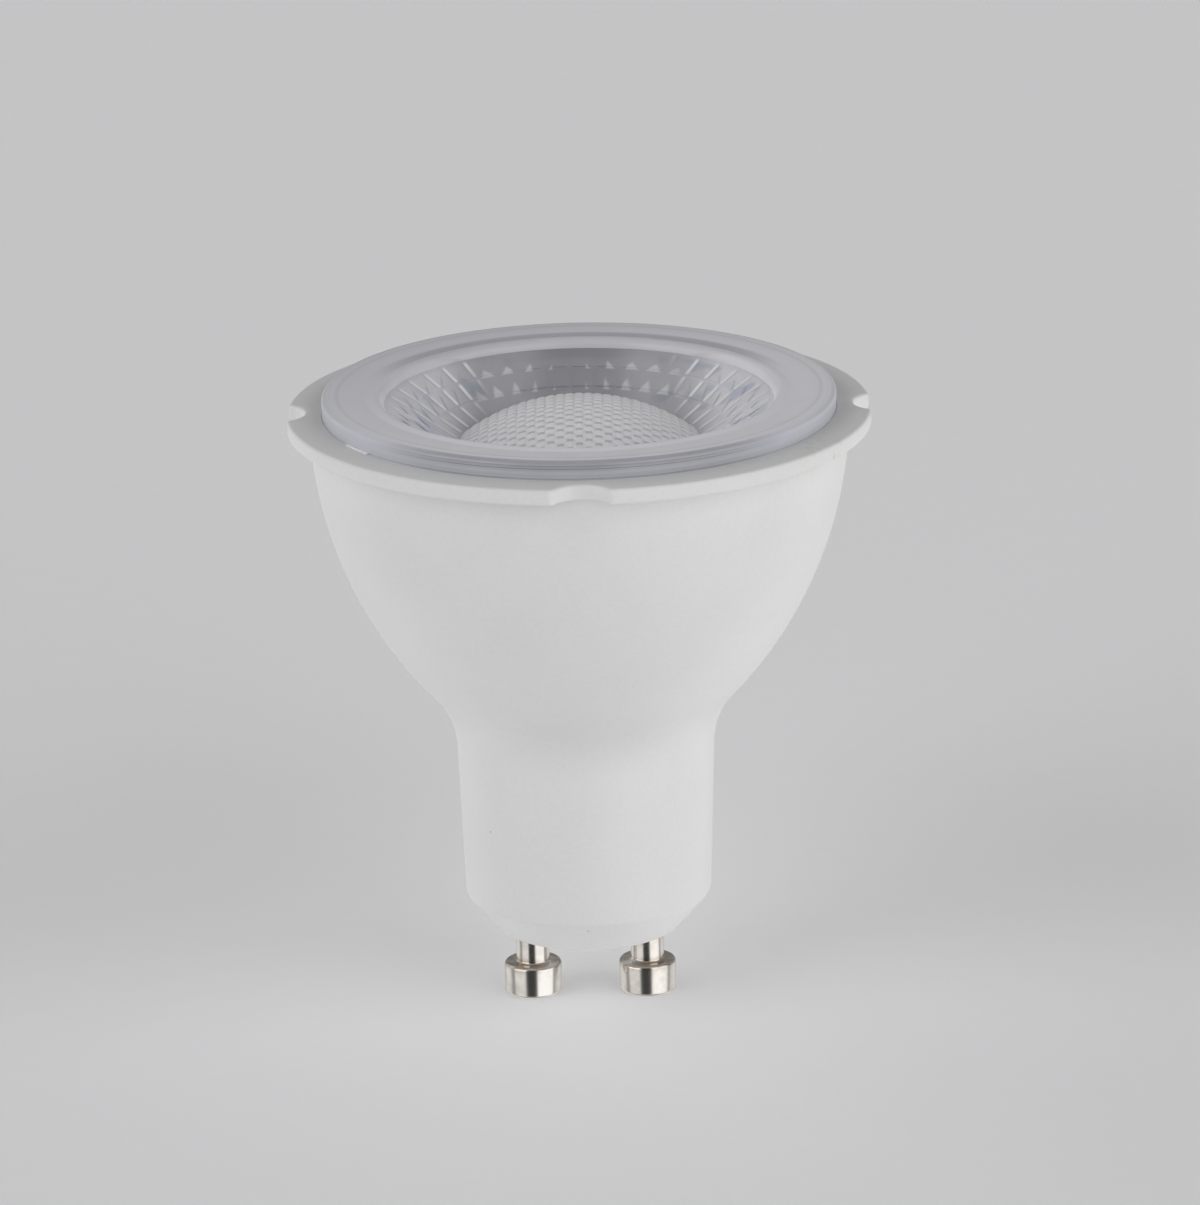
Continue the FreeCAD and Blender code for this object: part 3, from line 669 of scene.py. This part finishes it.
facet_smooth_angle = 38

cone_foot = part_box("lens")[0].z
lens_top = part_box("lens")[1].z
dish_floor = lens_top - lens_dish
plate_under = dish_floor - lens_plate
rim_inner = lens_radius - lens_rim_wall
funnel_mouth_radius = lens_radius - lens_annulus
lip_inner = funnel_mouth_radius - lip_round
lip_foot = dish_floor - lip_round
cone_top_radius = funnel_mouth_radius - cone_top_inset
funnel_foot = lip_foot - funnel_depth
funnel_run = lip_inner - funnel_ledge - dome_radius - dome_margin
facet_turn = math.tau / facet_count
tier_rows = [(lip_inner - funnel_ledge - funnel_run * inward, lip_foot - funnel_depth * down)
             for inward, down in zip(run_shares, drop_shares)]


def cap(radius, rise, foot, steps):
    """Points of a rounded cap in the half section, from near its crown to its foot circle."""
    sphere = (radius ** 2 + rise ** 2) / (2 * rise)
    near_crown = math.acos(pole_radius / sphere)
    return arc((0.0, foot + rise - sphere), sphere, near_crown, math.acos(radius / sphere), steps)


def lens_outline():
    """The half section from the pocket's crown round the cone, rim, ring and lip, and down the funnel."""
    pocket_top = cap(pocket_radius, pocket_crown, cone_foot + pocket_height, 10)
    pocket_foot = (pocket_radius, cone_foot)
    cone_edge = (cone_foot_radius, cone_foot)
    rim_foot = (lens_radius, ledge_height)
    rim_top = (lens_radius, lens_top)
    lip_crown = (funnel_mouth_radius, dish_floor)
    groove = (funnel_mouth_radius + groove_width, dish_floor - groove_depth)
    outline = (
        pocket_top
        + rounded(pocket_top[-1], pocket_foot, cone_edge, moulded_round, 3)
        + rounded(pocket_foot, cone_edge, (cone_top_radius, plate_under), moulded_round, 3)
        + [(cone_top_radius, plate_under), (rim_inner, plate_under), (rim_inner, ledge_height)]
        + rounded((rim_inner, ledge_height), rim_foot, rim_top, moulded_round, 3)
        + rounded(rim_foot, rim_top, (0, lens_top), lens_edge_round, 6)
        + [(groove[0] + 2 * groove_width, lens_top - lens_dish / 2)]
        + rounded(rim_top, groove, lip_crown, 2 * groove_width, 4)
        + arc((funnel_mouth_radius, lip_foot), lip_round, math.radians(80), math.pi, 8))
    for (radius, height), (next_radius, next_height) in zip(tier_rows, tier_rows[1:]):
        outline += [(radius + (next_radius - radius) * step / tier_steps,
                     height + (next_height - height) * step / tier_steps) for step in range(tier_steps)]
    return outline + [tier_rows[-1], (pole_radius, funnel_foot)]


lens = turned("lens_body", lens_outline(), facet_count * steps_round)


def on_funnel(radius, height):
    """Whether a point of the half section lies on one of the tiers."""
    for upper, lower in zip(tier_rows, tier_rows[1:]):
        share = (upper[0] - radius) / (upper[0] - lower[0])
        if -1e-4 < share < 1 + 1e-4 and abs(height - upper[1] - share * (lower[1] - upper[1])) < 1e-7:
            return True
    return False


for vertex in lens.data.vertices:
    radius = vertex.co.xy.length
    step = round(math.atan2(vertex.co.y, vertex.co.x) / (facet_turn / steps_round))
    if on_funnel(radius, vertex.co.z):
        radius /= math.cos((step % steps_round / steps_round - 0.5) * facet_turn)
    angle = facet_angle + facet_turn * step / steps_round
    vertex.co = (radius * math.cos(angle), radius * math.sin(angle), vertex.co.z)


def facet_edge(row):
    """Both corners of the first facet on a row."""
    radius = row[0] / math.cos(facet_turn / 2)
    return [Vector((radius * math.cos(angle), radius * math.sin(angle), row[1]))
            for angle in (facet_angle, facet_angle + facet_turn)]


def studs(upper, lower, height_share):
    """The ring of pyramid studs on the lower edges of one tier, as a tool that reaches into the lens."""
    first, last = facet_edge(lower)
    middle = (first + last) / 2
    up_slope = sum(facet_edge(upper), Vector()) / 2 - middle
    half_width = (last - first) * (stud_width_share / 2)
    peak = middle + half_width.cross(up_slope).normalized() * stud_rise
    corners = [middle - half_width, middle + half_width, middle + up_slope * height_share]
    bpy.ops.object.select_all(action="DESELECT")
    bpy.ops.mesh.primitive_cone_add(vertices=3)
    ring = new_piece("tool")
    places = [peak + (corner - peak) * stud_root for corner in corners] + [peak]
    for vertex, place in zip(ring.data.vertices, places):
        vertex.co = place
    bpy.ops.object.mode_set(mode="EDIT")
    bpy.ops.mesh.select_all(action="SELECT")
    bpy.ops.mesh.spin(steps=facet_count - 1, dupli=True, angle=math.tau - facet_turn, axis=(0, 0, 1),
                      center=(0, 0, 0))
    bpy.ops.mesh.select_all(action="SELECT")
    bpy.ops.mesh.normals_make_consistent(inside=False)
    bpy.ops.object.mode_set(mode="OBJECT")
    return ring


def bead_sheet():
    """Beads side by side: one six-sided bead, raised by insets and copied in slanting rows and columns."""
    side = bead_pitch / math.sqrt(3)
    bpy.ops.object.select_all(action="DESELECT")
    bpy.ops.mesh.primitive_circle_add(vertices=6, radius=side, fill_type="NGON", rotation=(0, 0, math.pi / 2))
    sheet = new_piece("beads")
    bpy.ops.object.mode_set(mode="EDIT")
    size, height = 1.0, 0.0
    for ring_size, ring_height in bead_rings:
        bpy.ops.mesh.inset(thickness=(size - ring_size) * bead_pitch / 2,
                           depth=(ring_height - height) * bead_height)
        size, height = ring_size, ring_height
    bpy.ops.object.mode_set(mode="OBJECT")
    column = bead_pitch * math.sqrt(3) / 2
    columns = 2 * math.ceil(dome_radius / column) + 3
    rows = columns + columns // 2
    for count, offset in ((columns, (column, bead_pitch / 2, 0)), (rows, (0, bead_pitch, 0))):
        finish_modifier(sheet, "ARRAY", count=count, use_relative_offset=False, use_constant_offset=True,
                        constant_offset_displace=offset, use_merge_vertices=True,
                        merge_threshold=bead_pitch / 100)
    half = columns // 2
    return sheet, Vector((column * half, bead_pitch * (half / 2 + rows // 2), 0))


def bead_dome():
    """The beads laid over the dome's cap, closed underneath and trimmed to the dome's circle."""
    field, middle = bead_sheet()
    bpy.ops.object.mode_set(mode="EDIT")
    bpy.ops.mesh.select_all(action="SELECT")
    bpy.ops.transform.translate(value=-middle)
    bpy.ops.mesh.select_mode(type="FACE")
    bpy.ops.object.mode_set(mode="OBJECT")
    for face in field.data.polygons:
        face.select = face.center.xy.length > dome_radius + bead_pitch
    bpy.ops.object.mode_set(mode="EDIT")
    bpy.ops.mesh.delete(type="FACE")
    bpy.ops.object.mode_set(mode="OBJECT")
    sphere = (dome_radius ** 2 + dome_height ** 2) / (2 * dome_height)
    sphere_middle = funnel_foot + dome_height - sphere
    for vertex in field.data.vertices:
        vertex.co.z += sphere_middle + math.sqrt(sphere ** 2 - vertex.co.xy.length_squared)
    bpy.ops.object.mode_set(mode="EDIT")
    bpy.ops.mesh.select_all(action="SELECT")
    bpy.ops.mesh.region_to_loop()
    bpy.ops.mesh.extrude_edges_move(TRANSFORM_OT_translate={"value": (0, 0, -dome_skirt)})
    bpy.ops.transform.resize(value=(1, 1, 0), center_override=(0, 0, funnel_foot - dome_skirt))
    bpy.ops.mesh.select_mode(type="VERT")
    bpy.ops.mesh.select_all(action="SELECT")
    bpy.ops.mesh.fill_holes(sides=0)
    bpy.ops.mesh.select_all(action="SELECT")
    bpy.ops.mesh.normals_make_consistent(inside=False)
    bpy.ops.object.mode_set(mode="OBJECT")
    trim = bar(dome_radius, funnel_foot - dome_root, funnel_foot + dome_height + cut_margin, 0, 0, dome_steps)
    combine(field, [trim], "INTERSECT")
    return field


tools = [bead_dome()]
for upper, lower, height_share in zip(tier_rows, tier_rows[1:], stud_height_shares):
    tools.append(studs(upper, lower, height_share))
tools.append(slab(gate_low, gate_high, gate_angle))
combine(lens, tools, "UNION")


def is_seam(edge):
    """Whether an edge of the lens lies on a seam between two facets."""
    points = [lens.data.vertices[index].co for index in edge.vertices]
    for point in points:
        off_seam = ((math.atan2(point.y, point.x) - facet_angle) / facet_turn + 0.5) % 1 - 0.5
        if abs(off_seam) > 0.01 or not lip_foot > point.z > funnel_foot - weld:
            return False
    return points[0].xy.length > dome_radius + dome_margin / 2


for edge in lens.data.edges:
    edge.use_edge_sharp = is_seam(edge)
smooth(lens, facet_smooth_angle)

glass_clear = (0.96, 0.97, 0.99, 1)
lilac_painted_light = (0.965, 0.95, 1.0, 1)
lilac_painted_shade = (0.71, 0.70, 0.755, 1)
painted_shade_grey = (0.42, 0.43, 0.47, 1)
edge_painted_shade = (0.59, 0.60, 0.665, 1)
glint_blue = (0.52, 0.58, 0.72, 1)
pearl_bright = (0.93, 0.925, 0.95, 1)
pearl_painted_shade = (0.60, 0.60, 0.63, 1)
stud_highlight_white = (0.90, 0.90, 0.92, 1)
seam_painted_shade = (0.22, 0.23, 0.27, 1)
seam_painted_highlight = (0.97, 0.97, 0.99, 1)
gate_painted_highlight = (0.97, 0.97, 0.97, 1)
milk_roughness = 0.3
seam_roughness = 0.25
haze_size = 2.5 * mm
streak_pitch = 0.12 * mm
glint_size = 3.5 * mm
glare_offset = 0.9 * mm
glare_width = 3.2 * mm
tier_radii = [row[0] for row in tier_rows]

acrylic = Finish("clear_acrylic", {"IOR": 1.49, "Transmission Weight": 1.0, "Base Color": glass_clear})
across, depth, height = [acrylic.place.axis(name) for name in "XYZ"]
reach = acrylic.place.from_axis()
sideways = abs(across)
haze = acrylic.place.noise(haze_size, 3.0)
acrylic.feed(Roughness=0.02 + haze * 0.03)

# Where on the lens a point lies, each from 0 to 1
ring_zone = (reach - 0.5 * mm * sideways.between(9 * mm, 14 * mm)).between(lip_inner - 0.12 * mm, lip_inner)
dome_zone = reach.between(dome_radius + 0.1 * mm, dome_radius - 0.1 * mm)
funnel_zone = (1 - ring_zone) * (1 - dome_zone)
edge_zone = reach.between(lens_radius - 0.6 * mm, lens_radius - 0.3 * mm)
upper_edge = edge_zone * (1 - height.between(flange_top + 1.0 * mm, flange_top + 0.5 * mm))
round_edge = reach.between(lens_radius - 0.5 * mm, lens_radius - 0.1 * mm)
near_rim = reach.between(rim_inner - 1.0 * mm, rim_inner + 0.5 * mm)
on_side = reach.between(lens_radius - 0.1 * mm, lens_radius - 0.05 * mm)
above = height.between(plate_under + 0.2 * mm, plate_under + 0.3 * mm)
in_front = depth.between(-13 * mm, -19.5 * mm)
at_back = depth.between(5 * mm, 14 * mm)

# How milky each zone is
streaks = haze.node("TexNoise", {"noise_dimensions": "1D"},
                    {"W": (height + reach) / streak_pitch, "Scale": 1.0})
ring_milk = 0.95 - in_front * (upper_edge * 0.16 + edge_zone * 0.2) - at_back * edge_zone * 0.35
ring_milk = ring_milk - streaks.between(0.45, 0.75) * near_rim * (0.09 + 0.22 * in_front)
ring_milk = ring_milk * above.math("MAXIMUM", on_side)
dome_milk = 0.93 * height.between(funnel_foot - 0.4 * mm, funnel_foot - 0.3 * mm)
funnel_milk = (0.34 + 0.14 * sideways.between(2 * mm, 6 * mm) + 0.42 * sideways.between(8 * mm, 13 * mm)
               + 0.2 * depth.between(3 * mm, -4 * mm))
milk = ring_zone * ring_milk + dome_zone * dome_milk + funnel_zone * funnel_milk + (haze - 0.5) * 0.08
acrylic.cover(milk, {"Roughness": milk_roughness})

# The colour of the milk: lilac with painted light towards the front right and painted shade that dulls it
# towards the back left, and pearl with painted shade in dark dashes on the beads' far sides
painted_light_tilt = (0.16 * depth - 0.075 * across) / (20 * mm) + (haze - 0.5) * 0.12
lilac = painted_light_tilt.between(-0.12, 0.30).mix(lilac_painted_light, lilac_painted_shade)
# Painted shade in the groove and on the lip at the back, and a painted shadow line over the rim's inner wall
groove_painted_shade = abs(reach - funnel_mouth_radius - 0.9 * mm).between(0.9 * mm, 0.3 * mm) * at_back
rim_painted_shadow = abs(reach - rim_inner).between(0.25 * mm, 0.05 * mm)
lip_painted_shade = reach.between(funnel_mouth_radius + 0.1 * mm, funnel_mouth_radius - 0.1 * mm) * at_back * ring_zone
lilac = (groove_painted_shade * 0.7 + lip_painted_shade * 0.3 + rim_painted_shadow * 0.15).mix(lilac, painted_shade_grey)
# Painted shade on the rounded outer edge of the rim
lilac = (round_edge * 0.85).mix(lilac, edge_painted_shade)
# Painted bluish reflections in patches on the funnel's sides, below the lip
glint = acrylic.place.noise(glint_size).between(0.5, 0.65) * sideways.between(4 * mm, 8 * mm)
glint = glint * reach.between(lip_inner - 0.3 * mm, lip_inner - 0.8 * mm)
lilac = (glint * 0.6).mix(lilac, glint_blue)
column_pitch = bead_pitch * math.sqrt(3)
# Painted shade: a dark dash on the far side of each bead
bead_painted_shades = []
for half_step in (0.0, 0.5):
    beside = abs((across / column_pitch + half_step).math("FRACT") - 0.5) * column_pitch
    beyond = abs((depth / bead_pitch + half_step).math("FRACT") - 0.66) * bead_pitch
    bead_painted_shades.append(beside.between(0.34 * mm, 0.24 * mm) * beyond.between(0.30 * mm, 0.16 * mm))
pearl = (sum(bead_painted_shades) * 0.85).mix(pearl_bright, pearl_painted_shade)
acrylic.feed(Base_Color=dome_zone.mix(lilac, pearl))

# Studs with a painted highlight, more of each the further it lies from the glare's middle
within = ((acrylic.place.bearing() - facet_angle) / facet_turn + facet_count).math("FRACT")
from_middle = (within - 0.5) * reach * facet_turn
from_glare = 0 - across - glare_offset
outward = from_middle * from_glare.math("SIGN")
stud_highlight_marks = []
for upper, lower, height_share in zip(tier_radii, tier_radii[1:], stud_height_shares):
    half_width = lower * math.tan(facet_turn / 2) * stud_width_share
    rise = (reach - lower) / ((upper - lower) * height_share)
    lit = (outward / half_width + abs(from_glare) / glare_width).between(0.8, 1.25)
    inside = ((1 - rise) * half_width - abs(from_middle)).between(-0.05 * mm, 0.35 * mm)
    stud_highlight_marks.append(inside * rise.between(-0.4, -0.1) * lit)
lit_studs = sum(stud_highlight_marks) * sideways.between(10.0 * mm, 7.5 * mm)
acrylic.cover(lit_studs * funnel_zone * 0.48, {"Roughness": milk_roughness, "Base Color": stud_highlight_white})

# Seams at the sides: a painted white highlight on each with a painted shade line below it, broken at the rows
# of the tiers, and a painted shade line along the lower row in the middle
from_seam = reach * facet_turn / 2 - abs(from_middle)
seam_parts = []
for upper, lower in zip(tier_radii, tier_radii[1:]):
    down = (upper - reach) / (upper - lower)
    seam_parts.append(down.between(0.0, 0.2) * down.between(1.0, 0.88))
at_sides = funnel_zone * sideways.between(7.5 * mm, 10.5 * mm) * sum(seam_parts)
shade_beside_seam = from_seam.between(0.6 * mm, 0.15 * mm) * (from_middle * across).between(-1e-7, 1e-7)
row_painted_shade = abs(reach - tier_radii[2]).between(0.14 * mm, 0.04 * mm) * sideways.between(6.5 * mm, 3.5 * mm)
acrylic.cover(row_painted_shade * 0.35 + shade_beside_seam * at_sides * 0.3,
              {"Roughness": milk_roughness, "Base Color": seam_painted_shade})
acrylic.cover(from_seam.between(0.26 * mm, 0.10 * mm) * at_sides * 0.95,
              {"Roughness": seam_roughness, "Base Color": seam_painted_highlight})
# Painted highlight on the gate mark at the rim's side
gate = reach.between(lens_radius + 0.02 * mm, lens_radius + 0.04 * mm)
acrylic.cover(gate * 0.9, {"Roughness": milk_roughness, "Base Color": gate_painted_highlight})
acrylic.put_on(lens)
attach(lens, "root")
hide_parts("lens")


# Stage: a plain pale floor under the pins, which throws no light back at the lamp, and a soft studio round it.
# Two broad soft boxes stand left and right of the camera, with a darker gap between and a pale room behind.
floor_half = 3.0
paper_bright = (0.88, 0.88, 0.895, 1)
paper_dull = (0.86, 0.86, 0.875, 1)
paper_fleck_size = 3 * mm
soft_boxes = (                  # strength, then bearings and heights in degrees
    (0.95, -80, -30, -45, 0), (1.80, -80, -30, 0, 50),
    (1.35, 16, 86, -45, 0), (1.58, 16, 86, 0, 50),
    (0.05, -30, 16, -45, 50),
    (0.28, -140, -80, -45, 0), (0.54, -140, -80, 0, 50),
    (0.21, 86, 140, -45, 0), (0.09, 86, 140, 0, 50))
image_width, image_height = 1200, 1205
camera_place = Vector((0.0, -608.1 * mm, 226.6 * mm))
aim_point = Vector((1.47 * mm, 2.51 * mm, 34.65 * mm))
camera_roll = math.radians(1.14)
focal_pixels = 7399
sensor_width = 36.0

bpy.ops.object.select_all(action="DESELECT")
bpy.ops.mesh.primitive_plane_add(size=2 * floor_half)
floor = new_piece("floor")
floor.visible_glossy = False
floor.visible_diffuse = False
floor.visible_shadow = False
paper = Finish("floor_paper", {"Roughness": 0.9, "Specular IOR Level": 0.1, "Emission Strength": 0.10,
                               "Emission Color": (1.0, 1.0, 1.0, 1)})
paper_fleck = paper.place.noise(paper_fleck_size, 3.0)
paper.feed(Base_Color=paper_fleck.mix(paper_dull, paper_bright))
paper.put_on(floor)

studio = bpy.data.worlds.new("studio")
bpy.context.scene.world = studio
studio.use_nodes = True
sky = Shade(studio.node_tree)
way = sky.node("TexCoord", output="Generated")
ahead, up = way.axis("Y"), way.axis("Z")
bearing = way.axis("X").math("ARCTAN2", 0 - ahead)


def soft_box(start, end, low, high):
    """A soft-edged bright panel between two bearings from the camera and two heights, in degrees."""
    edge = math.radians(5.0)
    start, end = math.radians(start), math.radians(end)
    wide = bearing.between(start - edge, start + edge) * bearing.between(end + edge, end - edge)
    low, high = math.sin(math.radians(low)), math.sin(math.radians(high))
    return wide * up.between(low - 0.08, low + 0.08) * up.between(high + 0.08, high - 0.08)


behind = ahead.between(-0.1, 0.35)
light = (behind * (0.62 - 0.34 * up.between(-0.08, 0.08)) + 0.03 * up.between(0.6, 0.95)
         + 0.44 * up.between(-0.55, -0.8))
for strength, *panel in soft_boxes:
    light = light + strength * soft_box(*panel)
background = studio.node_tree.nodes["Background"]
studio.node_tree.links.new(light.node("CombineColor", None, {0: light, 1: light, 2: light}).socket,
                           background.inputs["Color"])

camera_data = bpy.data.cameras.new("camera")
camera_data.sensor_width = sensor_width
camera_data.lens = focal_pixels / max(image_width, image_height) * sensor_width
camera = bpy.data.objects.new("camera", camera_data)
bpy.context.scene.collection.objects.link(camera)
camera.location = camera_place
camera.rotation_mode = "QUATERNION"
camera.rotation_quaternion = ((aim_point - camera_place).to_track_quat("-Z", "Y")
                              @ Quaternion((0, 0, 1), -camera_roll))
bpy.context.scene.camera = camera
bpy.context.scene.view_settings.view_transform = "Standard"
